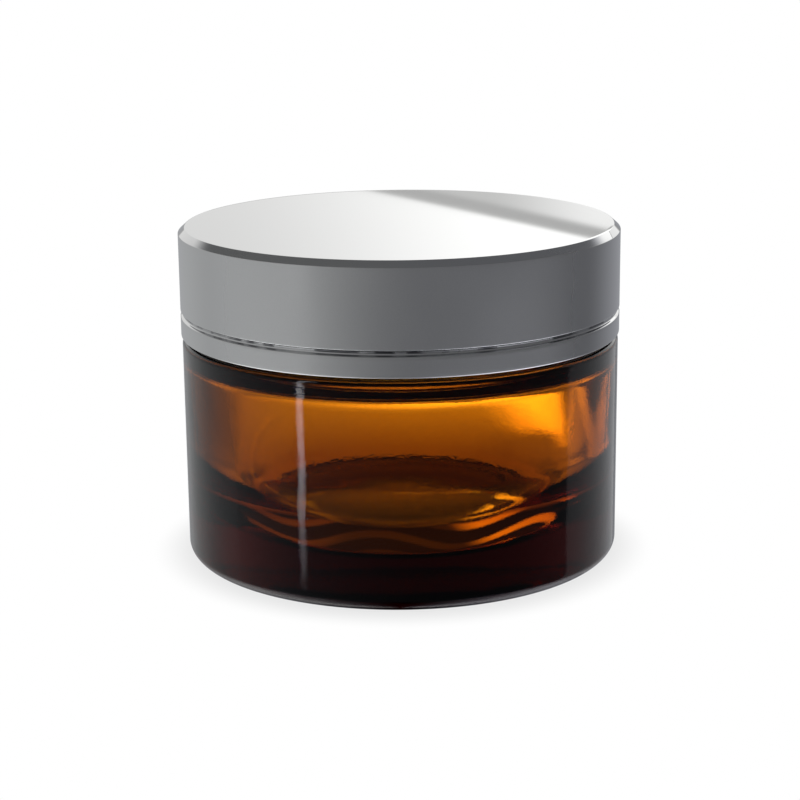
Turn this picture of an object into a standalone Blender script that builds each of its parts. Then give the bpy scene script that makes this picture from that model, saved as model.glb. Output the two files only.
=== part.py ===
"""Cosmetic cream jar: a thick amber glass jar closed by a screw lid.

The lid is a satin aluminium overshell rolled onto a plastic inner cap, which holds a foam liner.
A plastic sealing disc with a finger tab rests in the jar's mouth, under the liner.

Frame: metres, +Z up, origin at the centre of the foot, where the jar rests on z = 0.
The outlines below are (radius, height) points in millimetres, and lathe() turns them about Z.
"""

import math

import bmesh
import bpy
from mathutils import Vector

MM = 0.001
SEGMENTS = 64  # flats round every turned piece
SHARP_ANGLE = math.radians(30)

# Driving dimensions, in millimetres.
LID_RADIUS = 30.5
TOTAL_HEIGHT = 46.3
LID_HEIGHT = 15.0
GLASS_RADIUS = 30.35
FIT_GAP = 0.1  # between pieces that rest on each other

# Lid overshell.
LID_BOTTOM = TOTAL_HEIGHT - LID_HEIGHT
SHELL_WALL = 0.5
LID_CHAMFER_WIDTH = 0.9
LID_CHAMFER_DROP = 0.8
GROOVE_BOTTOM = LID_BOTTOM + 2.75
GROOVE_HEIGHT = 0.95
GROOVE_DEPTH = 0.38
GROOVE_FLANK = 0.3  # height of each sloping side of the groove

# Inner cap.
CAP_TOP = TOTAL_HEIGHT - SHELL_WALL - FIT_GAP
CAP_ROOF = 1.2
CAP_BOTTOM = LID_BOTTOM + 0.3
CAP_OUTER = 29.5
CAP_INNER = 28.5
CAP_LOCK_DEPTH = 0.35  # groove that the overshell's rolled groove snaps into
CAP_RIB_COUNT = 24
CAP_RIB_RADIUS = LID_RADIUS - SHELL_WALL - 0.15
CAP_RIB_WIDTH = 1.2
LINER_BEAD_RADIUS = 27.2

# Liner and sealing disc.
LINER_TOP = CAP_TOP - CAP_ROOF - FIT_GAP
LINER_THICKNESS = 1.2
LINER_RADIUS = 27.9
DISC_TOP = LINER_TOP - LINER_THICKNESS - FIT_GAP
DISC_FLANGE = 0.8
DISC_RADIUS = 26.4
DISC_PLUG_RADIUS = 21.9
DISC_WALL = 0.8
DISC_DEPTH = 3.2
TAB_LENGTH = 14.0
TAB_THICKNESS = 1.2

# Glass jar.
RIM_HEIGHT = DISC_TOP - DISC_FLANGE - FIT_GAP
NECK_RADIUS = 26.9
RIM_ROUND = 0.8
SHOULDER_HEIGHT = LID_BOTTOM - 0.4
SHOULDER_ROUND = 1.5
NECK_FILLET = 0.7
FOOT_ROUND = 1.8
FOOT_INNER = 24.5  # inner edge of the flat ring that the jar stands on
PUNT_DEPTH = 0.4
CAVITY_FLOOR = 3.8
CAVITY_ROUND = 12.3  # the floor turns up into the wall like a bowl
CAVITY_LOW_RADIUS = 24.4
CAVITY_RADIUS = 25.0
THROAT_HEIGHT = 26.4  # where the cavity's wall starts to turn in towards the mouth
THROAT_TURN = 80  # degrees
THROAT_ROUND = 1.7
THROAT_FILLET = 1.3
MOUTH_RADIUS = CAVITY_RADIUS - (THROAT_ROUND + THROAT_FILLET) * (1 - math.cos(math.radians(THROAT_TURN)))

# Screw thread, right-handed with one start, six turns to the inch.
THREAD_PITCH = 25.4 / 6
THREAD_STEPS_PER_TURN = 48
THREAD_RUN_OUT = math.radians(30)  # angle over which a thread's end dies away
THREAD_EMBED = 0.4
JAR_THREAD_START = 34.6  # height of its centreline at angle 0
JAR_THREAD_TURNS = 1.25
JAR_THREAD_CREST = 28.05
JAR_THREAD_ROOT_WIDTH = 2.3
JAR_THREAD_CREST_WIDTH = 0.8
CAP_THREAD_CREST = 27.4
CAP_THREAD_ROOT_WIDTH = 1.8
CAP_THREAD_CREST_WIDTH = 0.7
CAP_THREAD_DROP = 1.43  # how far the cap's thread lies under the jar's
CAP_THREAD_FROM = math.radians(-45)
CAP_THREAD_TO = math.radians(360)


def clear_scene():
    for existing in list(bpy.data.objects):
        bpy.data.objects.remove(existing)


def material(name, colour, roughness, metallic=0.0, transmission=0.0):
    made = bpy.data.materials.new(name)
    made.use_nodes = True
    shader = made.node_tree.nodes["Principled BSDF"]
    shader.inputs["Base Color"].default_value = (*colour, 1.0)
    shader.inputs["Roughness"].default_value = roughness
    shader.inputs["Metallic"].default_value = metallic
    shader.inputs["Transmission Weight"].default_value = transmission
    return made


def arc(centre, radius, start, end, steps):
    """Points round centre from angle start to end, in degrees from +radius towards +height."""
    angles = [math.radians(start + (end - start) * i / steps) for i in range(steps + 1)]
    return [(centre[0] + radius * math.cos(a), centre[1] + radius * math.sin(a)) for a in angles]


def finish_mesh(name, mesh_builder, look):
    mesh = bpy.data.meshes.new(name)
    mesh_builder.to_mesh(mesh)
    mesh_builder.free()
    mesh.shade_smooth()
    mesh.set_sharp_from_angle(angle=SHARP_ANGLE)
    made = bpy.data.objects.new(name, mesh)
    bpy.context.scene.collection.objects.link(made)
    if look is not None:
        mesh.materials.append(look)
    return made


def lathe(name, outline, look, closed=False):
    """Turns an outline about Z. An open outline starts and ends on the axis."""
    builder = bmesh.new()
    points = [builder.verts.new((radius * MM, 0, height * MM)) for radius, height in outline]
    edges = [builder.edges.new(pair) for pair in zip(points, points[1:])]
    if closed:
        edges.append(builder.edges.new((points[-1], points[0])))
    bmesh.ops.spin(
        builder,
        geom=points + edges,
        axis=(0, 0, 1),
        cent=(0, 0, 0),
        steps=SEGMENTS,
        angle=2 * math.pi,
        use_merge=True,
    )
    bmesh.ops.remove_doubles(builder, verts=builder.verts, dist=1e-7)
    bmesh.ops.recalc_face_normals(builder, faces=builder.faces)
    return finish_mesh(name, builder, look)


def helical_ridge(name, start_angle, end_angle, height_at_zero, root, crest, root_width, crest_width):
    """A screw thread's ridge. It stands out from root to crest, and is embedded in the wall behind."""
    builder = bmesh.new()
    turn = end_angle - start_angle
    steps = math.ceil(turn / (2 * math.pi) * THREAD_STEPS_PER_TURN)
    outward = math.copysign(1, crest - root)
    buried = root - outward * THREAD_EMBED
    sections = []
    for i in range(steps + 1):
        angle = start_angle + turn * i / steps
        height = height_at_zero + THREAD_PITCH * angle / (2 * math.pi)
        from_end = min(angle - start_angle, end_angle - angle)
        share = math.sin(min(1.0, from_end / THREAD_RUN_OUT) * math.pi / 2)
        tip = buried + (crest - buried) * max(share, 0.2)
        corners = (
            (buried, -root_width / 2),
            (tip, -crest_width / 2),
            (tip, crest_width / 2),
            (buried, root_width / 2),
        )
        across = Vector((math.cos(angle), math.sin(angle), 0))
        sections.append(
            [
                builder.verts.new(across * radius * MM + Vector((0, 0, (height + rise) * MM)))
                for radius, rise in corners
            ]
        )
    for near, far in zip(sections, sections[1:]):
        for i in range(4):
            j = (i + 1) % 4
            builder.faces.new((near[i], near[j], far[j], far[i]))
    builder.faces.new(sections[0])
    builder.faces.new(sections[-1])
    bmesh.ops.recalc_face_normals(builder, faces=builder.faces)
    return finish_mesh(name, builder, None)


def block(name, size, centre, turn=0.0):
    """A plain box, turned about Z by an angle, with its centre given before the turn."""
    builder = bmesh.new()
    bmesh.ops.create_cube(builder, size=1.0)
    bmesh.ops.scale(builder, verts=builder.verts, vec=[side * MM for side in size])
    bmesh.ops.translate(builder, verts=builder.verts, vec=[place * MM for place in centre])
    made = finish_mesh(name, builder, None)
    made.rotation_euler.z = turn
    return made


def join_in(body, helpers):
    """Unites helpers with body by Boolean modifiers, and keeps them as hidden guides."""
    for helper in helpers:
        union = body.modifiers.new(helper.name, "BOOLEAN")
        union.operation = "UNION"
        union.object = helper
        helper.hide_render = True
        helper.display_type = "WIRE"


def glass_outline():
    """From the centre of the cavity's floor, up the cavity, over the rim and down the outside."""
    bowl = (CAVITY_LOW_RADIUS - CAVITY_ROUND, CAVITY_FLOOR + CAVITY_ROUND)
    throat = (CAVITY_RADIUS - THROAT_ROUND, THROAT_HEIGHT)
    throat_run = (THROAT_ROUND + THROAT_FILLET) * math.sin(math.radians(THROAT_TURN))
    throat_fillet = (MOUTH_RADIUS + THROAT_FILLET, THROAT_HEIGHT + throat_run)
    rim_in = (MOUTH_RADIUS + RIM_ROUND, RIM_HEIGHT - RIM_ROUND)
    rim_out = (NECK_RADIUS - RIM_ROUND, RIM_HEIGHT - RIM_ROUND)
    fillet = (NECK_RADIUS + NECK_FILLET, SHOULDER_HEIGHT + NECK_FILLET)
    shoulder = (GLASS_RADIUS - SHOULDER_ROUND, SHOULDER_HEIGHT - SHOULDER_ROUND)
    foot = (GLASS_RADIUS - FOOT_ROUND, FOOT_ROUND)
    outline = [(0, CAVITY_FLOOR)]
    outline += arc(bowl, CAVITY_ROUND, -90, 0, 9)
    outline += arc(throat, THROAT_ROUND, 0, THROAT_TURN, 4)
    outline += arc(throat_fillet, THROAT_FILLET, 180 + THROAT_TURN, 180, 3)[1:]
    outline += arc(rim_in, RIM_ROUND, 180, 90, 3)
    outline += arc(rim_out, RIM_ROUND, 90, 0, 3)
    outline += arc(fillet, NECK_FILLET, 180, 270, 2)
    outline += arc(shoulder, SHOULDER_ROUND, 90, 0, 4)
    outline += arc(foot, FOOT_ROUND, 0, -90, 4)
    outline += [(FOOT_INNER, 0), (FOOT_INNER - 1.5, PUNT_DEPTH * 0.5), (0, PUNT_DEPTH)]
    return outline


def make_glass_jar(look):
    jar = lathe("glass_jar", glass_outline(), look)
    thread = helical_ridge(
        "jar_thread_guide",
        0.0,
        JAR_THREAD_TURNS * 2 * math.pi,
        JAR_THREAD_START,
        NECK_RADIUS,
        JAR_THREAD_CREST,
        JAR_THREAD_ROOT_WIDTH,
        JAR_THREAD_CREST_WIDTH,
    )
    join_in(jar, [thread])
    return jar


def groove_in(radius, depth, low, high, flank):
    """The four points of a groove cut into a wall of this radius, from its top to its bottom."""
    return [(radius, high), (radius - depth, high - flank), (radius - depth, low + flank), (radius, low)]


def shell_outline():
    """From the centre of the lid's top, down the outside, and back up the inside to the axis."""
    inner = LID_RADIUS - SHELL_WALL
    ceiling = TOTAL_HEIGHT - SHELL_WALL
    groove_top = GROOVE_BOTTOM + GROOVE_HEIGHT
    widen = SHELL_WALL * 0.4  # a rolled groove is wider on the inside of the sheet
    outline = [(0, TOTAL_HEIGHT)]
    outline += [
        (LID_RADIUS - LID_CHAMFER_WIDTH, TOTAL_HEIGHT),
        (LID_RADIUS - LID_CHAMFER_WIDTH * 0.35, TOTAL_HEIGHT - LID_CHAMFER_DROP * 0.45),
        (LID_RADIUS, TOTAL_HEIGHT - LID_CHAMFER_DROP),
    ]
    outline += groove_in(LID_RADIUS, GROOVE_DEPTH, GROOVE_BOTTOM, groove_top, GROOVE_FLANK)
    outline += [(LID_RADIUS, LID_BOTTOM), (inner, LID_BOTTOM)]
    inside = groove_in(inner, GROOVE_DEPTH, GROOVE_BOTTOM - widen, groove_top + widen, GROOVE_FLANK)
    outline += reversed(inside)
    outline += [
        (inner, ceiling - LID_CHAMFER_DROP * 0.6),
        (inner - LID_CHAMFER_WIDTH * 0.7, ceiling),
        (0, ceiling),
    ]
    return outline


def make_inner_cap(look):
    roof = CAP_TOP - CAP_ROOF
    lock_low = GROOVE_BOTTOM - 0.5
    lock_high = GROOVE_BOTTOM + GROOVE_HEIGHT + 0.5
    bead = LINER_TOP - LINER_THICKNESS - FIT_GAP
    outline = [(0, CAP_TOP), (CAP_OUTER - 1.0, CAP_TOP), (CAP_OUTER, CAP_TOP - 1.0)]
    outline += groove_in(CAP_OUTER, CAP_LOCK_DEPTH, lock_low, lock_high, GROOVE_FLANK)
    outline += [
        (CAP_OUTER, CAP_BOTTOM),
        (CAP_INNER, CAP_BOTTOM),
        (CAP_INNER, bead - 0.9),
        (LINER_BEAD_RADIUS, bead - 0.3),
        (LINER_BEAD_RADIUS, bead),
        (CAP_INNER, bead),
        (CAP_INNER, roof),
        (0, roof),
    ]
    cap = lathe("inner_cap", outline, look)
    thread = helical_ridge(
        "cap_thread_guide",
        CAP_THREAD_FROM,
        CAP_THREAD_TO,
        JAR_THREAD_START - CAP_THREAD_DROP,
        CAP_INNER,
        CAP_THREAD_CREST,
        CAP_THREAD_ROOT_WIDTH,
        CAP_THREAD_CREST_WIDTH,
    )
    rib_low = lock_high + 0.6
    rib_high = CAP_TOP - 1.6
    rib_depth = CAP_RIB_RADIUS - CAP_OUTER + 0.4
    ribs = [
        block(
            f"cap_rib_guide_{i}",
            (rib_depth, CAP_RIB_WIDTH, rib_high - rib_low),
            (CAP_RIB_RADIUS - rib_depth / 2, 0, (rib_low + rib_high) / 2),
            2 * math.pi * (i + 0.5) / CAP_RIB_COUNT,
        )
        for i in range(CAP_RIB_COUNT)
    ]
    join_in(cap, [thread] + ribs)
    return cap


def make_liner(look):
    bottom = LINER_TOP - LINER_THICKNESS
    edge = 0.15
    outline = [
        (0, LINER_TOP),
        (LINER_RADIUS - edge, LINER_TOP),
        (LINER_RADIUS, LINER_TOP - edge),
        (LINER_RADIUS, bottom + edge),
        (LINER_RADIUS - edge, bottom),
        (0, bottom),
    ]
    return lathe("liner", outline, look)


def make_sealing_disc(look):
    """A shallow dish that plugs the mouth and hangs by its flange on the rim, with a tab to lift it by."""
    flange_bottom = DISC_TOP - DISC_FLANGE
    dish_bottom = DISC_TOP - DISC_DEPTH
    dish_top = dish_bottom + DISC_WALL
    wall_inside = DISC_PLUG_RADIUS - DISC_WALL
    outline = [
        (0, dish_top),
        (wall_inside - 0.5, dish_top),
        (wall_inside, dish_top + 0.5),
        (wall_inside, DISC_TOP - 0.4),
        (wall_inside + 0.4, DISC_TOP),
        (DISC_RADIUS - 0.2, DISC_TOP),
        (DISC_RADIUS, DISC_TOP - 0.2),
        (DISC_RADIUS, flange_bottom),
        (DISC_PLUG_RADIUS, flange_bottom),
        (DISC_PLUG_RADIUS, dish_bottom + 0.6),
        (DISC_PLUG_RADIUS - 0.6, dish_bottom),
        (0, dish_bottom),
    ]
    disc = lathe("sealing_disc", outline, look)
    tab_low = dish_top - DISC_WALL / 2
    tab_high = DISC_TOP - 0.2
    tab = block(
        "disc_tab_guide",
        (TAB_LENGTH, TAB_THICKNESS, tab_high - tab_low),
        (0, 0, (tab_low + tab_high) / 2),
    )
    join_in(disc, [tab])
    return disc


clear_scene()
amber_glass = material("amber_glass", (0.55, 0.22, 0.01), 0.03, transmission=1.0)
satin_aluminium = material("satin_aluminium", (0.62, 0.63, 0.65), 0.35, metallic=1.0)
cap_plastic = material("cap_plastic", (0.85, 0.85, 0.84), 0.45)
liner_foam = material("liner_foam", (0.92, 0.92, 0.90), 0.8)
disc_plastic = material("disc_plastic", (0.90, 0.91, 0.91), 0.35)

make_glass_jar(amber_glass)
make_sealing_disc(disc_plastic)
make_liner(liner_foam)
make_inner_cap(cap_plastic)
lathe("lid_overshell", shell_outline(), satin_aluminium)
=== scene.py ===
"""Looks for the cosmetic cream jar: finished pieces, materials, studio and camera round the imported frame.

Lengths are in millimetres until a mesh is made, and outlines are (radius, height) points. Each piece is
turned about Z in fine steps, with its threads, ribs, seams and knurling worked into the mesh.
"""

import math

import bmesh
import bpy
import numpy as np
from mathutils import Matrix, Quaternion, Vector


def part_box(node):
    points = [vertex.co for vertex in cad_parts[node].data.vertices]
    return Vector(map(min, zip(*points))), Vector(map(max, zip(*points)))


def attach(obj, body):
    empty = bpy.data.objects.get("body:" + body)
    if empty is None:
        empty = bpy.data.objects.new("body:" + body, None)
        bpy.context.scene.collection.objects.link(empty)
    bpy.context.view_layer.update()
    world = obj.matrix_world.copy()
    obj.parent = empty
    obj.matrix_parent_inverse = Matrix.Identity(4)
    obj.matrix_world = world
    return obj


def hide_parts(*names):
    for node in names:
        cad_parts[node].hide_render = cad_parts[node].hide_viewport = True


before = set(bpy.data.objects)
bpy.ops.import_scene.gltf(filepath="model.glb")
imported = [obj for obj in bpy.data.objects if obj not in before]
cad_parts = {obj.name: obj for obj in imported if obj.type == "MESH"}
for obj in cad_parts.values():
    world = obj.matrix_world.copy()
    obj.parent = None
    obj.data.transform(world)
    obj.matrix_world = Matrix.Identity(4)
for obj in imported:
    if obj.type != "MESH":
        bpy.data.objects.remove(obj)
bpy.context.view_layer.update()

MM = 0.001
TINY = 1e-6
TURN = 2 * math.pi
SHARP_ANGLE = math.radians(40)


def box_mm(node):
    """A CAD node's outer radius, lowest height and highest height."""
    low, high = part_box(node)
    return high.x / MM, low.z / MM, high.z / MM


GLASS_RADIUS, _, RIM_HEIGHT = box_mm("glass_jar")
LID_RADIUS, LID_BOTTOM, LID_TOP = box_mm("lid_overshell")
_, CAP_BOTTOM, CAP_TOP = box_mm("inner_cap")
LINER_RADIUS, LINER_BOTTOM, LINER_TOP = box_mm("liner")
DISC_RADIUS, DISC_BOTTOM, DISC_TOP = box_mm("sealing_disc")

# Glass jar.
CAVITY_FLOOR = 3.8
CAVITY_ROUND = 12.3
CAVITY_LOW_RADIUS = 24.4
CAVITY_RADIUS = 25.0
THROAT_HEIGHT = 26.4
THROAT_TURN = 80  # degrees
THROAT_ROUND = 1.7
THROAT_FILLET = 1.3
THROAT_RUN = (THROAT_ROUND + THROAT_FILLET) * math.sin(math.radians(THROAT_TURN))
MOUTH_RADIUS = CAVITY_RADIUS - (THROAT_ROUND + THROAT_FILLET) * (1 - math.cos(math.radians(THROAT_TURN)))
NECK_RADIUS = 26.9
NECK_FILLET = 0.7
RIM_ROUND = 0.8
SHOULDER_HEIGHT = LID_BOTTOM - 0.4  # the lid stops this far above the shoulder
SHOULDER_ROUND = 0.8
FOOT_ROUND = 1.8
FOOT_INNER = 24.5  # inner edge of the flat ring that the jar stands on
PUNT_DEPTH = 0.4
PUNT_RISE = 8.0  # width over which the underside rises from the foot to the punt
KNURL_COUNT = 160
KNURL_DEPTH = 0.1
KNURL_RADIUS = 26.2
KNURL_HALF_WIDTH = 1.0
SEAM_HEIGHT = 0.035
SEAM_HALF_WIDTH = 0.16

# Screw thread.
THREAD_PITCH = 25.4 / 6
JAR_THREAD = {"start": 0.0, "end": 1.25 * TURN, "height": 34.6, "root": 2.3, "crest": 0.8, "depth": 1.15}
CAP_THREAD = {
    "start": math.radians(-45),
    "end": TURN,
    "height": JAR_THREAD["height"] - 1.43,
    "root": 1.8,
    "crest": 0.7,
    "depth": 1.1,
}
THREAD_RUN_OUT = math.radians(30)  # angle over which a thread's end dies away

# Lid.
SHELL_WALL = 0.5
CHAMFER_WIDTH = 0.9
CHAMFER_DROP = 0.8
CHAMFER_EDGE = 0.16  # radius left on each edge of the chamfer
GROOVE_BOTTOM = LID_BOTTOM + 2.75
GROOVE_HEIGHT = 0.95
GROOVE_DEPTH = 0.38
GROOVE_FLANK = 0.3  # height of each sloping side of the groove
GROOVE_SPREAD = 0.2  # how much higher and lower the groove's bulge reaches on the inside of the shell
HEM_ROUND = 0.22
CAP_ROOF = 1.2
CAP_OUTER = 29.5
CAP_INNER = 28.5
CAP_CORNER = 1.0
CAP_EDGE = 0.35  # height, above the CAD cap's lower edge, of the centre of the skirt's rounded end
CAP_LOCK_DEPTH = 0.35
CAP_LOCK_MARGIN = 0.5  # the lock groove reaches this far past the shell's groove, above and below
CAP_RIB_COUNT = 24
CAP_RIB_HEIGHT = 0.35
CAP_RIB_HALF_WIDTH = 0.6
CAP_RIB_EASE = 0.2  # width of a rib's sloping sides
CAP_RIB_END = 0.3  # height of a rib's sloping ends
CAP_RIB_LOW = GROOVE_BOTTOM + GROOVE_HEIGHT + 1.1
CAP_RIB_HIGH = CAP_TOP - 1.6
LINER_BEAD_TOP = LINER_BOTTOM - 0.1
LINER_BEAD_RADIUS = 27.2
LINER_BEAD_ROUND = 0.2
LINER_BEAD_RAMP = 0.9  # how far below its top the bead starts to stand out of the skirt
LINER_EDGE = 0.3
LINER_DENT = 0.07  # the sealing disc's print in the foam
LINER_UNEVENNESS = 0.02

# Sealing disc.
DISC_FLANGE = 0.8
DISC_PLUG_RADIUS = 21.9
DISC_WALL = 0.8
DISC_DISH_FILLET = 0.5
DISC_DISH_LIP = 0.4
DISC_RIM_EDGE = 0.3
DISC_UNDER_EDGE = 0.2
DISC_PLUG_ROUND = 0.6
GATE_DEPTH = 0.12
GATE_RADIUS = 1.6
MARK_DEPTH = 0.08
MARK_RADIUS = DISC_PLUG_RADIUS * 0.55
MARK_HALF_WIDTH = 0.5
TAB_LENGTH = 14.0
TAB_THICKNESS = 1.2
TAB_CORNER = 1.4
TAB_EDGE = 0.3
TAB_DROP = 0.2  # how far the tab's top lies below the disc's


# Outlines and turned meshes.


def arc(centre, radius, start, end, steps):
    """Points round centre from angle start to end, in degrees from +radius towards +height."""
    angles = [math.radians(start + (end - start) * i / steps) for i in range(steps + 1)]
    return [(centre[0] + radius * math.cos(a), centre[1] + radius * math.sin(a)) for a in angles]


def line(start, end, steps):
    """The points of a straight run after its start, up to and including its end."""
    return [
        (start[0] + (end[0] - start[0]) * i / steps, start[1] + (end[1] - start[1]) * i / steps)
        for i in range(1, steps + 1)
    ]


def smooth(value, low, high):
    """0 up to low, 1 from high on, and an even S between them."""
    share = np.clip((value - low) / (high - low), 0.0, 1.0)
    return share * share * (3.0 - 2.0 * share)


def hump(value, centre, half_width):
    """1 at centre, falling evenly to 0 at half_width on each side."""
    return 1.0 - smooth(np.abs(value - centre), 0.0, half_width)


def mesh_object(name, mesh):
    """Links a mesh as a new object, smooth but for its sharp edges."""
    mesh.shade_smooth()
    mesh.set_sharp_from_angle(angle=SHARP_ANGLE)
    made = bpy.data.objects.new(name, mesh)
    bpy.context.scene.collection.objects.link(made)
    return made


def turned(name, outline, segments, shape=None):
    """Turns an outline that starts and ends on the axis. shape(angle, radius, height) may move its points."""
    radii = np.array([point[0] for point in outline])
    heights = np.array([point[1] for point in outline])
    angles = np.arange(segments) * TURN / segments
    grid_angle, grid_radius = np.meshgrid(angles, radii)
    grid_height = np.repeat(heights[:, None], segments, axis=1)
    if shape is not None:
        grid_radius, grid_height = shape(grid_angle, grid_radius, grid_height)
    verts = []
    rings = []
    for i, radius in enumerate(radii):
        if radius < TINY:
            rings.append([len(verts)] * segments)
            verts.append((0.0, 0.0, float(grid_height[i].mean()) * MM))
            continue
        rings.append(list(range(len(verts), len(verts) + segments)))
        across = grid_radius[i] * np.cos(angles) * MM
        along = grid_radius[i] * np.sin(angles) * MM
        verts += zip(across.tolist(), along.tolist(), (grid_height[i] * MM).tolist())
    faces = []
    for near, far in zip(rings, rings[1:]):
        for i in range(segments):
            j = (i + 1) % segments
            corners = dict.fromkeys((near[i], far[i], far[j], near[j]))
            faces.append(tuple(corners))
    mesh = bpy.data.meshes.new(name)
    mesh.from_pydata(verts, [], faces)
    builder = bmesh.new()
    builder.from_mesh(mesh)
    bmesh.ops.recalc_face_normals(builder, faces=builder.faces)
    builder.to_mesh(mesh)
    builder.free()
    return mesh_object(name, mesh)


def thread_height(angle, height, thread):
    """How far a screw thread stands out at each place on its wall."""
    out = np.zeros_like(angle)
    first = math.floor(thread["start"] / TURN)
    last = math.ceil(thread["end"] / TURN)
    for turn in range(first, last):
        along = angle + turn * TURN
        middle = thread["height"] + THREAD_PITCH * along / TURN
        inside = (along >= thread["start"]) & (along <= thread["end"])
        from_end = np.minimum(along - thread["start"], thread["end"] - along)
        share = np.where(inside, smooth(from_end, 0.0, THREAD_RUN_OUT), 0.0)
        ridge = 1.0 - smooth(np.abs(height - middle), thread["crest"] / 2, thread["root"] / 2)
        out = np.maximum(out, ridge * share)
    return out * thread["depth"]


# Pieces.


def glass_outline():
    """From the centre of the cavity's floor, up the cavity, over the rim and down the outside."""
    bowl = (CAVITY_LOW_RADIUS - CAVITY_ROUND, CAVITY_FLOOR + CAVITY_ROUND)
    throat = (CAVITY_RADIUS - THROAT_ROUND, THROAT_HEIGHT)
    throat_fillet = (MOUTH_RADIUS + THROAT_FILLET, THROAT_HEIGHT + THROAT_RUN)
    rim_in = (MOUTH_RADIUS + RIM_ROUND, RIM_HEIGHT - RIM_ROUND)
    rim_out = (NECK_RADIUS - RIM_ROUND, RIM_HEIGHT - RIM_ROUND)
    fillet = (NECK_RADIUS + NECK_FILLET, SHOULDER_HEIGHT + NECK_FILLET)
    shoulder = (GLASS_RADIUS - SHOULDER_ROUND, SHOULDER_HEIGHT - SHOULDER_ROUND)
    foot = (GLASS_RADIUS - FOOT_ROUND, FOOT_ROUND)
    outline = [(0, CAVITY_FLOOR)]
    outline += line((0, CAVITY_FLOOR), (bowl[0], CAVITY_FLOOR), 14)
    outline += arc(bowl, CAVITY_ROUND, -90, 0, 40)[1:]
    outline += line((CAVITY_LOW_RADIUS, bowl[1]), (CAVITY_RADIUS, THROAT_HEIGHT), 22)
    outline += arc(throat, THROAT_ROUND, 0, THROAT_TURN, 12)[1:]
    outline += arc(throat_fillet, THROAT_FILLET, 180 + THROAT_TURN, 180, 8)[1:]
    outline += line(outline[-1], (MOUTH_RADIUS, rim_in[1]), 12)
    outline += arc(rim_in, RIM_ROUND, 180, 90, 8)[1:]
    outline += arc(rim_out, RIM_ROUND, 90, 0, 8)
    outline += line((NECK_RADIUS, rim_out[1]), (NECK_RADIUS, fillet[1]), 64)
    outline += arc(fillet, NECK_FILLET, 180, 270, 8)[1:]
    outline += arc(shoulder, SHOULDER_ROUND, 90, 0, 18)
    outline += line((GLASS_RADIUS, shoulder[1]), (GLASS_RADIUS, foot[1]), 30)
    outline += arc(foot, FOOT_ROUND, 0, -90, 16)[1:]
    outline += line((foot[0], 0), (FOOT_INNER, 0), 16)
    for share in np.linspace(0.125, 1.0, 8):
        outline.append((FOOT_INNER - PUNT_RISE * share, PUNT_DEPTH * math.sin(math.pi / 2 * share)))
    outline += line((FOOT_INNER - PUNT_RISE, PUNT_DEPTH), (0, PUNT_DEPTH), 8)
    return outline


def glass_shape(angle, radius, height):
    """Adds the thread, the two mould seams and the knurled bearing ring."""
    on_neck = (height > SHOULDER_HEIGHT + NECK_FILLET) & (radius > NECK_RADIUS - TINY)
    thread = np.where(on_neck, thread_height(angle, height, JAR_THREAD), 0.0)
    outside = radius > NECK_RADIUS - 0.1
    from_seam = np.abs(np.sin(angle)) * radius
    seam = np.where(outside, hump(from_seam, 0.0, SEAM_HALF_WIDTH) * SEAM_HEIGHT, 0.0)
    seam *= smooth(height, FOOT_ROUND, FOOT_ROUND + 1.0)
    seam *= 1.0 - smooth(height, RIM_HEIGHT - 2 * RIM_ROUND, RIM_HEIGHT - 2 * RIM_ROUND + 1.0)
    knurl = (0.5 + 0.5 * np.cos(angle * KNURL_COUNT)) * hump(radius, KNURL_RADIUS, KNURL_HALF_WIDTH)
    knurl = np.where(height < TINY, knurl * KNURL_DEPTH, 0.0)
    return radius + thread + seam, height + knurl


def groove_in(radius, depth, low, high, flank):
    """A groove's points on a wall of this radius, from its top to its bottom, with eased edges."""
    shares = [i / 6 for i in range(7)]
    into = [depth * (0.5 - 0.5 * math.cos(math.pi * share)) for share in shares]
    top = [(radius - inset, high - flank * share) for inset, share in zip(into, shares)]
    bottom = [(radius - inset, low + flank * share) for inset, share in zip(into, shares)]
    return top + bottom[::-1]


def eased_corner(before, corner, after, radius, steps=5):
    """The points of a rounded corner between two straight runs."""
    corner = Vector(corner)
    inward = (Vector(before) - corner).normalized()
    outward = (Vector(after) - corner).normalized()
    half = inward.angle(outward) / 2
    reach = min(radius / math.tan(half), (Vector(before) - corner).length, (Vector(after) - corner).length)
    start = corner + inward * reach
    end = corner + outward * reach
    points = []
    for i in range(steps + 1):
        share = i / steps
        points.append(tuple(start * (1 - share) ** 2 + corner * 2 * share * (1 - share) + end * share**2))
    return points


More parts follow.
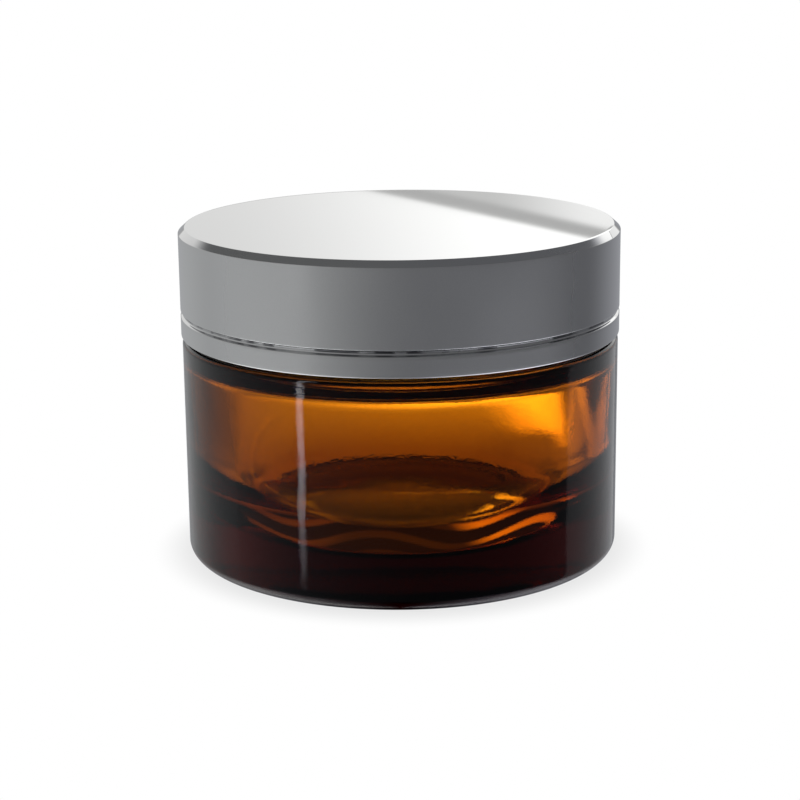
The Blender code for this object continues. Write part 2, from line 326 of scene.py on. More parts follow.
def shell_outline():
    """From the centre of the lid's top, down the outside, round the hem and back up the inside."""
    inner = LID_RADIUS - SHELL_WALL
    ceiling = LID_TOP - SHELL_WALL
    groove_top = GROOVE_BOTTOM + GROOVE_HEIGHT
    chamfer_in = (LID_RADIUS - CHAMFER_WIDTH, LID_TOP)
    chamfer_out = (LID_RADIUS, LID_TOP - CHAMFER_DROP)
    hem = (LID_RADIUS - HEM_ROUND, LID_BOTTOM + HEM_ROUND)
    hem_in = (inner + HEM_ROUND, LID_BOTTOM + HEM_ROUND)
    outline = [(0, LID_TOP)]
    outline += line((0, LID_TOP), (LID_RADIUS - CHAMFER_WIDTH - 0.5, LID_TOP), 28)
    outline += eased_corner((0, LID_TOP), chamfer_in, chamfer_out, CHAMFER_EDGE)
    outline += eased_corner(chamfer_in, chamfer_out, (LID_RADIUS, groove_top), CHAMFER_EDGE)
    outline += line(outline[-1], (LID_RADIUS, groove_top + 0.05), 12)
    outline += groove_in(LID_RADIUS, GROOVE_DEPTH, GROOVE_BOTTOM, groove_top, GROOVE_FLANK)
    outline += line((LID_RADIUS, GROOVE_BOTTOM), (LID_RADIUS, hem[1]), 6)
    outline += arc(hem, HEM_ROUND, 0, -90, 5)[1:]
    outline += arc(hem_in, HEM_ROUND, 270, 180, 5)[1:]
    bulge = (GROOVE_BOTTOM - GROOVE_SPREAD, groove_top + GROOVE_SPREAD)
    outline += reversed(groove_in(inner, GROOVE_DEPTH, *bulge, GROOVE_FLANK))
    outline += line((inner, bulge[1]), (inner, ceiling - CHAMFER_DROP * 0.6), 8)
    outline += line(outline[-1], (inner - CHAMFER_WIDTH * 0.7, ceiling), 2)
    outline += line(outline[-1], (0, ceiling), 16)
    return outline


def cap_outline():
    """From the centre of the cap's top, down the outside, round its edge, up the inside to the roof."""
    roof = CAP_TOP - CAP_ROOF
    lock = (GROOVE_BOTTOM - CAP_LOCK_MARGIN, GROOVE_BOTTOM + GROOVE_HEIGHT + CAP_LOCK_MARGIN)
    corner = (CAP_OUTER - CAP_CORNER, CAP_TOP - CAP_CORNER)
    edge = ((CAP_OUTER + CAP_INNER) / 2, CAP_BOTTOM + CAP_EDGE)
    ramp_start = LINER_BEAD_TOP - LINER_BEAD_RAMP
    ramp_end = (LINER_BEAD_RADIUS + 0.15, LINER_BEAD_TOP - 0.35)
    bead = (LINER_BEAD_RADIUS + LINER_BEAD_ROUND, LINER_BEAD_TOP - LINER_BEAD_ROUND)
    outline = [(0, CAP_TOP)]
    outline += line((0, CAP_TOP), (corner[0], CAP_TOP), 12)
    outline += arc(corner, CAP_CORNER, 90, 0, 8)[1:]
    outline += line((CAP_OUTER, corner[1]), (CAP_OUTER, lock[1]), 30)
    outline += groove_in(CAP_OUTER, CAP_LOCK_DEPTH, *lock, GROOVE_FLANK)[1:]
    outline += line((CAP_OUTER, lock[0]), (CAP_OUTER, edge[1]), 4)
    outline += arc(edge, (CAP_OUTER - CAP_INNER) / 2, 0, -180, 10)[1:-1]
    outline += line((CAP_INNER, edge[1]), (CAP_INNER, ramp_start), 60)
    outline += line((CAP_INNER, ramp_start), ramp_end, 4)
    outline += arc(bead, LINER_BEAD_ROUND, 225, 90, 5)
    outline += line(outline[-1], (CAP_INNER, LINER_BEAD_TOP), 3)
    outline += line((CAP_INNER, LINER_BEAD_TOP), (CAP_INNER, roof), 4)
    outline += line((CAP_INNER, roof), (0, roof), 12)
    return outline


def cap_shape(angle, radius, height):
    """Adds the ribs that key the cap into its overshell, and the thread inside its skirt."""
    spacing = TURN / CAP_RIB_COUNT
    from_rib = np.abs((angle / spacing) % 1.0 - 0.5) * spacing * CAP_OUTER
    rib = 1.0 - smooth(from_rib, CAP_RIB_HALF_WIDTH - CAP_RIB_EASE, CAP_RIB_HALF_WIDTH)
    rib *= smooth(height, CAP_RIB_LOW, CAP_RIB_LOW + CAP_RIB_END)
    rib *= 1.0 - smooth(height, CAP_RIB_HIGH - CAP_RIB_END, CAP_RIB_HIGH)
    rib = np.where(radius > CAP_OUTER - TINY, rib * CAP_RIB_HEIGHT, 0.0)
    on_skirt = (np.abs(radius - CAP_INNER) < TINY) & (height < LINER_BEAD_TOP - LINER_BEAD_RAMP + 0.01)
    thread = np.where(on_skirt, thread_height(angle, height, CAP_THREAD), 0.0)
    return radius + rib - thread, height


def liner_outline():
    """From the centre of the liner's top, round its edge to the centre of its underside."""
    flat = LINER_RADIUS - LINER_EDGE
    outline = [(0, LINER_TOP)]
    outline += line((0, LINER_TOP), (flat, LINER_TOP), 40)
    outline += arc((flat, LINER_TOP - LINER_EDGE), LINER_EDGE, 90, 0, 5)[1:]
    outline += arc((flat, LINER_BOTTOM + LINER_EDGE), LINER_EDGE, 0, -90, 5)
    outline += line((flat, LINER_BOTTOM), (0, LINER_BOTTOM), 100)
    return outline


def liner_shape(angle, radius, height):
    """Presses the sealing disc's print into the foam, and leaves its faces a little uneven."""
    under = height < LINER_BOTTOM + TINY
    print_in = LINER_DENT * (1.0 - smooth(radius, DISC_RADIUS, DISC_RADIUS + 0.35))
    print_in *= smooth(radius, MOUTH_RADIUS - 1.0, MOUTH_RADIUS - 0.4)
    uneven = 0.5 + 0.5 * np.sin(3 * angle + 0.3 * radius) * np.sin(0.5 * radius + 1.1)
    uneven *= LINER_UNEVENNESS * smooth(radius, 0.0, 4.0)
    return radius, height + np.where(under, print_in + uneven, -uneven)


def disc_outline():
    """From the centre of the dish, up over the flange's rim and down round the plug to its underside."""
    flange_bottom = DISC_TOP - DISC_FLANGE
    dish_top = DISC_BOTTOM + DISC_WALL
    wall = DISC_PLUG_RADIUS - DISC_WALL
    dish = (wall - DISC_DISH_FILLET, dish_top + DISC_DISH_FILLET)
    lip = (wall + DISC_DISH_LIP, DISC_TOP - DISC_DISH_LIP)
    rim = (DISC_RADIUS - DISC_RIM_EDGE, DISC_TOP - DISC_RIM_EDGE)
    under_rim = (DISC_RADIUS - DISC_UNDER_EDGE, flange_bottom + DISC_UNDER_EDGE)
    fillet = (DISC_PLUG_RADIUS + DISC_UNDER_EDGE, flange_bottom - DISC_UNDER_EDGE)
    plug = (DISC_PLUG_RADIUS - DISC_PLUG_ROUND, DISC_BOTTOM + DISC_PLUG_ROUND)
    outline = [(0, dish_top)]
    outline += line((0, dish_top), (dish[0], dish_top), 24)
    outline += arc(dish, DISC_DISH_FILLET, -90, 0, 6)[1:]
    outline += line((wall, dish[1]), (wall, lip[1]), 4)
    outline += arc(lip, DISC_DISH_LIP, 180, 90, 6)[1:]
    outline += line((lip[0], DISC_TOP), (rim[0], DISC_TOP), 12)
    outline += arc(rim, DISC_RIM_EDGE, 90, 0, 5)[1:]
    outline += arc(under_rim, DISC_UNDER_EDGE, 0, -90, 4)
    outline += line((under_rim[0], flange_bottom), (fillet[0], flange_bottom), 8)
    outline += arc(fillet, DISC_UNDER_EDGE, 90, 180, 4)[1:]
    outline += line((DISC_PLUG_RADIUS, fillet[1]), (DISC_PLUG_RADIUS, plug[1]), 4)
    outline += arc(plug, DISC_PLUG_ROUND, 0, -90, 6)[1:]
    outline += line((plug[0], DISC_BOTTOM), (0, DISC_BOTTOM), 24)
    return outline


def disc_shape(angle, radius, height):
    """Sinks the moulder's gate and a ring-shaped ejector mark into the underside."""
    gate = GATE_DEPTH * hump(radius, 0.0, GATE_RADIUS)
    mark = MARK_DEPTH * hump(radius, MARK_RADIUS, MARK_HALF_WIDTH)
    return radius, height + np.where(height < DISC_BOTTOM + TINY, gate + mark, 0.0)


def bevelled(builder, edges, width, segments):
    bmesh.ops.bevel(builder, geom=edges, offset=width * MM, segments=segments, profile=0.5, affect="EDGES")


def tab_mesh():
    """The finger tab: a bar with rounded corners that stands in the dish and is rooted in its floor."""
    low = DISC_BOTTOM + DISC_WALL / 2
    high = DISC_TOP - TAB_DROP
    builder = bmesh.new()
    bmesh.ops.create_cube(builder, size=1.0)
    size = Vector((TAB_LENGTH, TAB_THICKNESS, high - low)) * MM
    bmesh.ops.scale(builder, verts=builder.verts, vec=size)
    bmesh.ops.translate(builder, verts=builder.verts, vec=(0, 0, (low + high) / 2 * MM))
    ends = [edge for edge in builder.edges if abs(edge.verts[0].co.x - edge.verts[1].co.x) < TINY * MM]
    tops = [edge for edge in ends if min(vert.co.z for vert in edge.verts) > low * MM + TINY]
    bevelled(builder, tops, TAB_CORNER, 10)
    bevelled(builder, [edge for edge in builder.edges if edge.calc_face_angle(0.0) > 1.0], TAB_EDGE, 4)
    mesh = bpy.data.meshes.new("tab_guide")
    builder.to_mesh(mesh)
    builder.free()
    return mesh


def united(piece, helper):
    """Applies a Boolean union of helper to piece, and removes helper."""
    union = piece.modifiers.new("union", "BOOLEAN")
    union.operation = "UNION"
    union.object = helper
    evaluated = piece.evaluated_get(bpy.context.evaluated_depsgraph_get())
    mesh = bpy.data.meshes.new_from_object(evaluated)
    piece.modifiers.clear()
    piece.data = mesh
    mesh.set_sharp_from_angle(angle=SHARP_ANGLE)
    bpy.data.objects.remove(helper)
    return piece


def make_sealing_disc():
    disc = turned("sealing_disc_moulded", disc_outline(), 256, disc_shape)
    return united(disc, mesh_object("tab_guide", tab_mesh()))


# Materials.


class Graph:
    """A node tree with short calls: each adds a node, fills its inputs and returns an output."""

    def __init__(self, tree):
        self.tree = tree

    def node(self, kind, inputs=None, **settings):
        made = self.tree.nodes.new(kind)
        for key, value in settings.items():
            setattr(made, key, value)
        for key, value in (inputs or {}).items():
            self.fill(made.inputs[key], value)
        return made

    def fill(self, socket, value):
        if isinstance(value, bpy.types.NodeSocket):
            self.tree.links.new(value, socket)
        else:
            socket.default_value = value

    def math(self, operation, *values):
        return self.node("ShaderNodeMath", dict(enumerate(values)), operation=operation).outputs[0]

    def plus(self, first, *others):
        for other in others:
            first = self.math("ADD", first, other)
        return first

    def minus(self, first, second):
        return self.math("SUBTRACT", first, second)

    def times(self, first, *others):
        for other in others:
            first = self.math("MULTIPLY", first, other)
        return first

    def complement(self, share):
        """Sine from cosine, or the other way round. The surplus keeps the root real."""
        return self.math("SQRT", self.minus(1.0001, self.times(share, share)))

    def dot(self, first, second):
        made = self.node("ShaderNodeVectorMath", {0: first, 1: second}, operation="DOT_PRODUCT")
        return made.outputs["Value"]

    def ramp(self, value, low, high, at_low=0.0, at_high=1.0):
        """An even S from at_low to at_high."""
        inputs = {"Value": value, "From Min": low, "From Max": high, "To Min": at_low, "To Max": at_high}
        made = self.node("ShaderNodeMapRange", inputs, interpolation_type="SMOOTHSTEP")
        return made.outputs["Result"]

    def mix(self, factor, first, second):
        inputs = {"Factor": factor, "A": first, "B": second}
        return self.node("ShaderNodeMix", inputs, data_type="FLOAT").outputs["Result"]

    def mix_colour(self, factor, first, second):
        made = self.node("ShaderNodeMix", data_type="RGBA")
        self.fill(made.inputs[0], factor)
        self.fill(made.inputs[6], first)
        self.fill(made.inputs[7], second)
        return made.outputs[2]

    def noise(self, scale, detail=2.0, roughness=0.5):
        """Noise in the piece's own space. scale is in features per metre."""
        where = self.node("ShaderNodeTexCoord").outputs["Object"]
        inputs = {"Vector": where, "Scale": scale, "Detail": detail, "Roughness": roughness}
        return self.node("ShaderNodeTexNoise", inputs).outputs["Fac"]

    def bump(self, height, distance, strength=1.0):
        inputs = {"Height": height, "Distance": distance, "Strength": strength}
        return self.node("ShaderNodeBump", inputs).outputs["Normal"]

    def facing(self):
        """0 where the surface faces the viewer, 1 where it is seen edge on."""
        return self.node("ShaderNodeLayerWeight", {"Blend": 0.5}).outputs["Facing"]

    def height_band(self, fade_in, fade_out):
        """1 between two heights on a piece, 0 beyond. Each fade is a pair of heights in millimetres."""
        where = self.node("ShaderNodeTexCoord").outputs["Object"]
        height = self.node("ShaderNodeSeparateXYZ", {0: where}).outputs["Z"]
        rising = self.ramp(height, fade_in[0] * MM, fade_in[1] * MM)
        falling = self.ramp(height, fade_out[0] * MM, fade_out[1] * MM, 1.0, 0.0)
        return self.times(rising, falling)


def new_material(name):
    made = bpy.data.materials.new(name)
    made.use_nodes = True
    graph = Graph(made.node_tree)
    shader = made.node_tree.nodes["Principled BSDF"]
    return made, graph, shader


WHITE = (1.0, 1.0, 1.0, 1.0)
AMBER_TINT = (0.55, 0.25, 0.02, 1.0)
AMBER_TINT_DEEP = (0.506, 0.23, 0.0184, 1.0)
AMBER_PAINTED_SHADE = (0.02, 0.01, 0.008, 1.0)  # painted shade towards the outline, in place of light running longest through the wall
AMBER_ABSORPTION = (87.0, 160.0, 400.0)  # per metre, for red, green and blue
GLASS_IOR = 1.52
GLASS_SHEEN = (0.25, 0.25, 0.28, 1.0)  # share of the full mirror seen straight on
GLASS_DUST = 0.1  # roughness of the specks
GLASS_RIPPLE = 0.000006
METAL_DARK = (0.585, 0.587, 0.595, 1.0)
METAL_LIGHT = (0.66, 0.662, 0.67, 1.0)
# painted shade for the groove's floor
METAL_GROOVE_SHADE = (0.13, 0.13, 0.14, 1.0)
METAL_GRAIN = 0.000003
PP_WHITE = (0.86, 0.86, 0.85, 1.0)
PP_SHADE = (0.80, 0.80, 0.79, 1.0)
DISC_WHITE = (0.9, 0.91, 0.91, 1.0)
DISC_SHADE = (0.85, 0.86, 0.87, 1.0)
PLASTIC_SKIN = 0.000008
PLASTIC_SCATTER = 0.0008
FOAM_CELL = (0.93, 0.93, 0.92, 1.0)
FOAM_WALL = (0.82, 0.82, 0.80, 1.0)
FOAM_CELL_DEPTH = 0.00006


def amber_glass():
    """Clear amber glass, coloured by its thickness, with painted shade towards its outline and in a band
    along the shoulder's edge under the lid. Its surface is faintly rippled and has specks of dust."""
    made, graph, shader = new_material("amber_glass_finish")
    # painted shade: the tint darkens towards the outline and in a band just below the shoulder's top
    outline = graph.ramp(graph.facing(), 0.34, 0.6, 0.0, 0.92)
    fade_in = (SHOULDER_HEIGHT - 0.7, SHOULDER_HEIGHT - 0.4)
    fade_out = (SHOULDER_HEIGHT - 0.02, SHOULDER_HEIGHT + 0.02)
    dark = graph.math("MAXIMUM", outline, graph.height_band(fade_in, fade_out))
    tint = graph.mix_colour(graph.noise(60.0), AMBER_TINT, AMBER_TINT_DEEP)
    tint = graph.mix_colour(dark, tint, AMBER_PAINTED_SHADE)
    seen = graph.node("ShaderNodeLightPath").outputs["Is Camera Ray"]
    graph.fill(shader.inputs["Base Color"], graph.mix_colour(seen, WHITE, tint))
    specks = graph.ramp(graph.noise(5200.0, 1.0), 0.66, 0.74)
    graph.fill(shader.inputs["Roughness"], graph.times(specks, GLASS_DUST))
    graph.fill(shader.inputs["Transmission Weight"], 1.0)
    graph.fill(shader.inputs["IOR"], GLASS_IOR)
    graph.fill(shader.inputs["Specular Tint"], GLASS_SHEEN)
    ripple = graph.plus(graph.noise(2600.0, 2.0), graph.times(graph.noise(160.0), 6.0))
    graph.fill(shader.inputs["Normal"], graph.bump(ripple, GLASS_RIPPLE))
    strongest = max(AMBER_ABSORPTION)
    shades = tuple(1.0 - value / strongest for value in AMBER_ABSORPTION) + (1.0,)
    volume = graph.node("ShaderNodeVolumeAbsorption", {"Color": shades, "Density": strongest})
    output = made.node_tree.nodes["Material Output"]
    graph.fill(output.inputs["Volume"], volume.outputs["Volume"])
    return made


def satin_aluminium():
    """Fine blasted, anodised aluminium. It mirrors more at a glancing view. The groove is rolled smooth, and
    its floor has painted shade, broken by noise into dashes."""
    made, graph, shader = new_material("satin_aluminium_finish")
    # painted shade: a dark band on the groove's floor, broken by noise into dashes; the band is also smoother
    low = GROOVE_BOTTOM + 0.42
    high = GROOVE_BOTTOM + GROOVE_HEIGHT - 0.12
    floor = graph.height_band((low - 0.04, low + 0.04), (high - 0.04, high + 0.04))
    shade_dashes = graph.ramp(graph.noise(420.0, 1.0), 0.42, 0.58, 0.3, 1.0)
    groove = graph.times(floor, shade_dashes)
    facing = graph.facing()
    fine = graph.noise(9000.0, 2.0)
    broad = graph.noise(70.0, 3.0)
    satin = graph.times(graph.ramp(facing, 0.2, 0.75, 0.38, 0.022), graph.ramp(broad, 0.3, 0.7, 0.92, 1.08))
    bare = graph.mix_colour(fine, METAL_DARK, METAL_LIGHT)
    graph.fill(shader.inputs["Roughness"], graph.mix(groove, satin, 0.12))
    graph.fill(shader.inputs["Base Color"], graph.mix_colour(groove, bare, METAL_GROOVE_SHADE))
    graph.fill(shader.inputs["Metallic"], 1.0)
    grain = graph.ramp(facing, 0.2, 0.72, 1.0, 0.006)
    graph.fill(shader.inputs["Normal"], graph.bump(fine, METAL_GRAIN, grain))
    return made


def moulded_plastic(name, colour, shade, roughness, scatter):
    """Polypropylene with a faint moulded skin and a little light coming through it."""
    made, graph, shader = new_material(name)
    broad = graph.noise(140.0, 3.0)
    fine = graph.noise(3800.0, 2.0)
    rough = graph.plus(roughness, graph.times(graph.minus(fine, 0.5), 0.12))
    graph.fill(shader.inputs["Base Color"], graph.mix_colour(broad, colour, shade))
    graph.fill(shader.inputs["Roughness"], rough)
    graph.fill(shader.inputs["Subsurface Weight"], scatter)
    graph.fill(shader.inputs["Subsurface Radius"], (1.0, 1.0, 1.0))
    graph.fill(shader.inputs["Subsurface Scale"], PLASTIC_SCATTER)
    graph.fill(shader.inputs["Normal"], graph.bump(fine, PLASTIC_SKIN))
    return made


def liner_foam():
    """White polyethylene foam: closed cells under a dull skin."""
    made, graph, shader = new_material("liner_foam_finish")
    where = graph.node("ShaderNodeTexCoord").outputs["Object"]
    cells = graph.node("ShaderNodeTexVoronoi", {"Vector": where, "Scale": 1900.0}).outputs["Distance"]
    walls = graph.ramp(cells, 0.0, 0.7)
    graph.fill(shader.inputs["Base Color"], graph.mix_colour(walls, FOAM_CELL, FOAM_WALL))
    graph.fill(shader.inputs["Roughness"], graph.mix(walls, 0.7, 0.85))
    graph.fill(shader.inputs["Normal"], graph.bump(cells, FOAM_CELL_DEPTH))
    return made


# Studio. The camera sees a white background and a white floor with a painted soft shadow round the foot. What
# the glass and the lid show is a set of screens and shades, placed from the camera's own axes so that they
# stay with it all round the object.
# Directions are unit vectors, so rise is the sine of a direction's height, and azimuth is in radians to the
# right of straight ahead. Brightness is relative to the white background.

UP = (0.0, 0.0, 1.0)
CAMERA_DISTANCE = 0.2869
CAMERA_PITCH = math.radians(14.39)
CAMERA_ROLL = -0.0104
CAMERA_AIM = Vector((0.0, 0.0, 0.0208))
CAMERA_LENS = 91.3
CAMERA_SHIFT = -0.00116
STRIP_AZIMUTH = math.radians(-52)
STRIP_REACH = 0.6
STRIP_HEIGHT = 0.12
COOL_LEFT = (0.98, 1.0, 1.0, 1.0)
COOL_RIGHT = (0.965, 0.985, 1.05, 1.0)
WARM = (1.0, 1.0, 0.985, 1.0)
FLOOR_REACH = 3.0
FLOOR_GAP = 0.0001  # keeps the floor just clear of the foot
DAYLIGHT = 0.9  # what dull surfaces gather from the surroundings
FLOOR_LIGHT = 0.8  # what dull surfaces gather from the floor


def camera_direction(graph, local):
    """A direction fixed to the camera, in world space."""
    settings = {"vector_type": "VECTOR", "convert_from": "CAMERA", "convert_to": "WORLD"}
    return graph.node("ShaderNodeVectorTransform", {"Vector": local}, **settings).outputs[0]


def camera_axes(graph, where):
    """How far a place or direction lies to the camera's right, and away from it along the floor."""
    right = camera_direction(graph, (1.0, 0.0, 0.0))
    ahead = graph.node("ShaderNodeVectorMath", {0: UP, 1: right}, operation="CROSS_PRODUCT").outputs[0]
    return graph.dot(where, right), graph.dot(where, ahead)


def backlight(graph, rise, azimuth):
    """What the glass refracts: a screen that is brightest low down, with a wing on each side."""
    screen = graph.ramp(rise, 0.1, 0.85, 1.8, 0.26)
    wings = graph.plus(graph.ramp(azimuth, 0.25, 0.8, 0.0, 3.0), graph.ramp(azimuth, -0.8, -0.25, 1.0, 0.0))
    in_front = graph.ramp(graph.math("ABSOLUTE", azimuth), 1.5, 1.9, 1.0, 0.0)
    return graph.plus(screen, graph.times(wings, in_front))


def mirrored_screen(graph, rise, azimuth):
    """The screen that the lid's top mirrors. Below its sloping edge lie a grey gap and a second screen."""
    edge = graph.plus(0.1516, graph.times(azimuth, 0.215))
    over_edge = graph.minus(rise, edge)
    upper = graph.ramp(azimuth, -0.11, 0.09, 0.88, 1.42)
    lower = graph.ramp(azimuth, 0.035, 0.1, 0.68, 1.1)
    screen = graph.mix(graph.ramp(over_edge, -0.001, 0.001), 0.51, upper)
    return graph.mix(graph.ramp(over_edge, -0.0045, -0.008), screen, lower)


def mirrored_room(graph, rise, azimuth, sideways, away):
    """What the surfaces mirror: grey walls, the screen ahead, the floor's glow at the sides, and a ceiling
    that lights up when the camera looks down."""
    to_left = graph.math("DIVIDE", graph.math("MAXIMUM", graph.minus(0.35, sideways), 0.0), 1.25)
    walls = graph.plus(0.15, graph.times(to_left, to_left, 0.3), graph.ramp(away, 0.3, 1.0, 0.0, 0.2))
    below = graph.times(sideways, sideways, 2.2)
    room = graph.mix(graph.ramp(rise, -0.45, -0.7), walls, below)
    on_screen = graph.times(graph.ramp(away, 0.5, 0.9), graph.ramp(rise, 0.06, 0.11))
    room = graph.mix(on_screen, room, mirrored_screen(graph, rise, azimuth))
    looking_down = graph.complement(graph.dot(camera_direction(graph, (0.0, 1.0, 0.0)), UP))
    ceiling = graph.ramp(looking_down, 0.35, 0.8, 0.14, 0.8)
    return graph.mix(graph.ramp(rise, 0.34, 0.5), room, ceiling)


def mirrored_tint(graph, rise, sideways):
    """Cool walls, bluer to the right, and a slightly warm screen."""
    walls = graph.mix_colour(graph.ramp(sideways, -0.8, 0.3), COOL_LEFT, COOL_RIGHT)
    on_screen = graph.times(graph.ramp(rise, 0.0, 0.1), graph.ramp(rise, 0.34, 0.5, 1.0, 0.0))
    return graph.mix_colour(on_screen, walls, WARM)


def make_world():
    world = bpy.data.worlds.new("studio")
    bpy.context.scene.world = world
    world.use_nodes = True
    world.cycles.sampling_method = "NONE"
    world.node_tree.nodes.clear()
    graph = Graph(world.node_tree)
    way = graph.node("ShaderNodeTexCoord").outputs["Generated"]
    rise = graph.node("ShaderNodeSeparateXYZ", {0: way}).outputs["Z"]
    across, ahead = camera_axes(graph, way)
    level = graph.complement(rise)
    sideways = graph.math("DIVIDE", across, level)
    away = graph.math("DIVIDE", ahead, level)
    azimuth = graph.math("ARCTAN2", across, ahead)
    ray = graph.node("ShaderNodeLightPath").outputs
    room = mirrored_room(graph, rise, azimuth, sideways, away)
    value = graph.mix(ray["Is Glossy Ray"], DAYLIGHT, room)
    value = graph.mix(ray["Is Transmission Ray"], value, backlight(graph, rise, azimuth))
    value = graph.mix(ray["Is Camera Ray"], value, 1.0)
    tint = graph.mix_colour(ray["Is Glossy Ray"], WHITE, mirrored_tint(graph, rise, sideways))
    tint = graph.mix_colour(ray["Is Transmission Ray"], tint, WHITE)
    background = graph.node("ShaderNodeBackground", {"Color": tint, "Strength": value})
    graph.node("ShaderNodeOutputWorld", {"Surface": background.outputs[0]})


def floor_beyond(graph, across, ahead):
    """The floor round the object as the glass sees it: painted light, brightest beyond it on the right,
    fading towards its foot and dim in front. Places are in millimetres.
    """
    facing = graph.node("ShaderNodeNewGeometry").outputs["Incoming"]
    outward, _ = camera_axes(graph, facing)
    # painted light and shade: a glow and patches on the right, a fade towards the foot, darker at a grazing
    # view
    depth = graph.math("MINIMUM", graph.math("MAXIMUM", graph.minus(ahead, 28), 0.0), 120)
    rising = graph.times(depth, graph.ramp(across, -40, 25, 0.008, 0.042))
    glow = graph.times(
        graph.ramp(ahead, 28, 37),
        graph.ramp(across, 14, 38, 0.0, 6.5),
        graph.ramp(ahead, 60, 100, 1.0, 0.3),
        graph.ramp(outward, -0.06, -0.13),
    )
    grazing = graph.times(graph.ramp(across, 26, 34), graph.ramp(outward, -0.12, -0.06))
    lit = graph.times(
        graph.plus(rising, glow, 0.75),
        graph.ramp(across, 46, 56, 1.0, 0.0),
        graph.minus(1.0, grazing),
        graph.ramp(across, -62, -45, 0.3, 1.0),
    )
    beside = graph.times(graph.ramp(ahead, 16, 24, 1.7, 0.0), graph.ramp(across, 52, 58))
    patch = graph.times(
        graph.ramp(across, 31, 42, 0.0, 3.4), graph.ramp(ahead, 18, 24), graph.ramp(ahead, 28, 36, 1.0, 0.0)
    )
    lit = graph.plus(lit, patch, beside, 0.35)
    return graph.mix(graph.ramp(ahead, -40, 0), 0.3, lit)


def floor_beneath(graph, across, ahead, spread):
    """The floor under the foot as the glass sees it: painted shadow, with a wavy ring of painted bright
    folds, brighter on the right.
    """
    # painted light: the folds are a pattern in the floor's glow
    azimuth = graph.math("ARCTAN2", ahead, across)
    bend = graph.times(graph.math("SINE", graph.plus(graph.times(azimuth, 5.0), 0.9)), 2.5)
    phase = graph.plus(graph.times(spread, TURN / 9), bend)
    folds = graph.ramp(graph.math("SINE", phase), 0.0, 0.9)
    on_right = graph.ramp(across, 8, 14, 0.0, 4.6)
    on_left = graph.ramp(across, -8, -14, 0.15, 0.6)
    in_ring = graph.times(graph.ramp(spread, 13, 16), graph.ramp(ahead, 0, 6, 1.0, 0.3))
    return graph.plus(0.08, graph.times(graph.plus(on_right, on_left), in_ring, folds))


def floor_glow(graph):
    """The floor's brightness: white with a painted soft contact shadow to the camera, and painted light and
    shade to the glass.
    """
    place = graph.node("ShaderNodeNewGeometry").outputs["Position"]
    where = graph.node("ShaderNodeVectorMath", {0: place, "Scale": 1 / MM}, operation="SCALE").outputs[0]
    across, ahead = camera_axes(graph, where)
    spread = graph.math("SQRT", graph.dot(where, where))
    beneath = floor_beneath(graph, across, ahead, spread)
    through = graph.mix(graph.ramp(spread, 28.5, 31), beneath, floor_beyond(graph, across, ahead))
    # painted shadow: the floor the camera sees darkens softly towards the foot
    contact = graph.ramp(spread, 28.5, 36, 0.8, 1.0)
    ray = graph.node("ShaderNodeLightPath").outputs
    value = graph.mix(ray["Is Diffuse Ray"], through, FLOOR_LIGHT)
    return graph.mix(ray["Is Camera Ray"], value, contact)


def make_floor():
    """A glowing white sheet just under the foot. Mirrors show the room in its place."""
    mesh = bpy.data.meshes.new("floor")
    builder = bmesh.new()
    bmesh.ops.create_grid(builder, x_segments=1, y_segments=1, size=FLOOR_REACH)
    builder.to_mesh(mesh)
    builder.free()
    floor = bpy.data.objects.new("floor", mesh)
    bpy.context.scene.collection.objects.link(floor)
    floor.location.z = -FLOOR_GAP
    floor.visible_glossy = False
    made = bpy.data.materials.new("floor_white")
    made.use_nodes = True
    made.node_tree.nodes.clear()
    graph = Graph(made.node_tree)
    glow = graph.node("ShaderNodeEmission", {"Strength": floor_glow(graph)})
    graph.node("ShaderNodeOutputMaterial", {"Surface": glow.outputs[0]})
    mesh.materials.append(made)


def aim(item, target):
    """Turns a lamp so that it shines at target."""
    item.rotation_mode = "QUATERNION"
    item.rotation_quaternion = (Vector(target) - item.location).to_track_quat("-Z", "Y")


def area_light(name, place, target, width, height, power, in_mirrors, only=None):
    """A rectangular lamp, width by height in metres, with its power in watts. It lights everything, or only
    the piece named."""
    light = bpy.data.lights.new(name, "AREA")
    light.shape = "RECTANGLE"
    light.size = width
    light.size_y = height
    light.energy = power
    lamp = bpy.data.objects.new(name, light)
    bpy.context.scene.collection.objects.link(lamp)
    lamp.location = place
    lamp.visible_glossy = in_mirrors
    lamp.visible_transmission = False
    aim(lamp, target)
    if only is not None:
        lit = bpy.data.collections.new(name + "_lights")
        lit.objects.link(only)
        lamp.light_linking.receiver_collection = lit
    return light


def grain_strip(light):
    """Mottles a strip lamp and fades out its lower end, as uneven glass does to a reflection."""
    light.use_nodes = True
    graph = Graph(light.node_tree)
    where = graph.node("ShaderNodeNewGeometry").outputs["Position"]
    height = graph.node("ShaderNodeSeparateXYZ", {0: where}).outputs["Z"]
    fade = graph.ramp(height, -0.215, -0.14)
    stretch = {0: where, 1: (0.12, 0.12, 1.0)}
    place = graph.node("ShaderNodeVectorMath", stretch, operation="MULTIPLY").outputs[0]
    mottle = graph.node("ShaderNodeTexNoise", {"Vector": place, "Scale": 700.0, "Detail": 3.0}).outputs["Fac"]
    strength = graph.times(fade, graph.ramp(mottle, 0.38, 0.62, 0.35, 1.7))
    graph.fill(light.node_tree.nodes["Emission"].inputs["Strength"], strength)


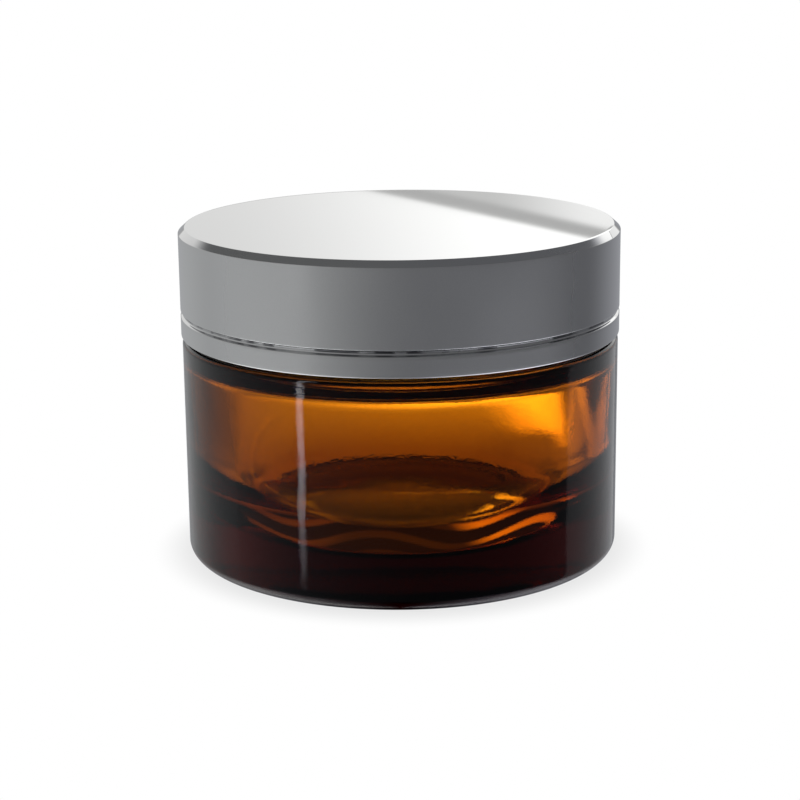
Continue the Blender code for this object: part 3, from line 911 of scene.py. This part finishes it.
def make_lights(glass, shell):
    """Lamps that only the glass or only the lid mirrors, and a wide soft lamp overhead."""
    beside = (STRIP_REACH * math.sin(STRIP_AZIMUTH), -STRIP_REACH * math.cos(STRIP_AZIMUTH), STRIP_HEIGHT)
    level_with_strip = (0, 0, STRIP_HEIGHT)
    middle = (0, 0, 0.02)
    grain_strip(area_light("glass_strip", beside, level_with_strip, 0.037, 0.9, 0.95, True, glass))
    area_light("right_panel", (0.5, 0.35, 0.0), middle, 0.7, 0.9, 0.6, True, glass)
    area_light("left_panel", (-0.5, 0.35, 0.0), middle, 0.7, 0.9, 0.12, True, glass)
    area_light("lid_strip", beside, middle, 0.03, 0.9, 0.1, True, shell)
    area_light("spot_light", (-0.36, 0.12, 0.7), (0, 0, 0.04), 0.03, 0.03, 0.3, True, glass)
    area_light("top_light", (0, 0.25, 0.9), (0, 0.1, 0), 1.2, 1.2, 14.0, False)


def make_camera():
    """A long lens that looks slightly down on the jar, with a slight roll."""
    camera = bpy.data.objects.new("camera", bpy.data.cameras.new("camera"))
    bpy.context.scene.collection.objects.link(camera)
    forward = Vector((0.0, math.cos(CAMERA_PITCH), -math.sin(CAMERA_PITCH)))
    camera.location = CAMERA_AIM - forward * CAMERA_DISTANCE
    camera.rotation_mode = "QUATERNION"
    camera.rotation_quaternion = forward.to_track_quat("-Z", "Y") @ Quaternion((0, 0, 1), CAMERA_ROLL)
    camera.data.lens = CAMERA_LENS
    camera.data.shift_x = CAMERA_SHIFT
    camera.data.clip_start = 0.001
    bpy.context.scene.camera = camera
    bpy.context.scene.view_settings.view_transform = "Standard"


def dress(piece, body, node, finish):
    """Gives a piece its material and its moving body, and hides the CAD node it stands for."""
    piece.data.materials.clear()
    piece.data.materials.append(finish)
    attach(piece, body)
    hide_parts(node)


jar = turned("jar_glass", glass_outline(), 512, glass_shape)
disc = make_sealing_disc()
liner = turned("liner_foam_disc", liner_outline(), 192, liner_shape)
cap = turned("lid_inner_cap", cap_outline(), 480, cap_shape)
shell = turned("lid_shell", shell_outline(), 384)
cap_plastic = moulded_plastic("cap_plastic_finish", PP_WHITE, PP_SHADE, 0.42, 0.1)
disc_plastic = moulded_plastic("disc_plastic_finish", DISC_WHITE, DISC_SHADE, 0.33, 0.35)
dress(jar, "jar", "glass_jar", amber_glass())
dress(disc, "seal", "sealing_disc", disc_plastic)
dress(liner, "carrier", "liner", liner_foam())
dress(cap, "lid", "inner_cap", cap_plastic)
dress(shell, "lid", "lid_overshell", satin_aluminium())

make_world()
make_floor()
make_lights(jar, shell)
make_camera()
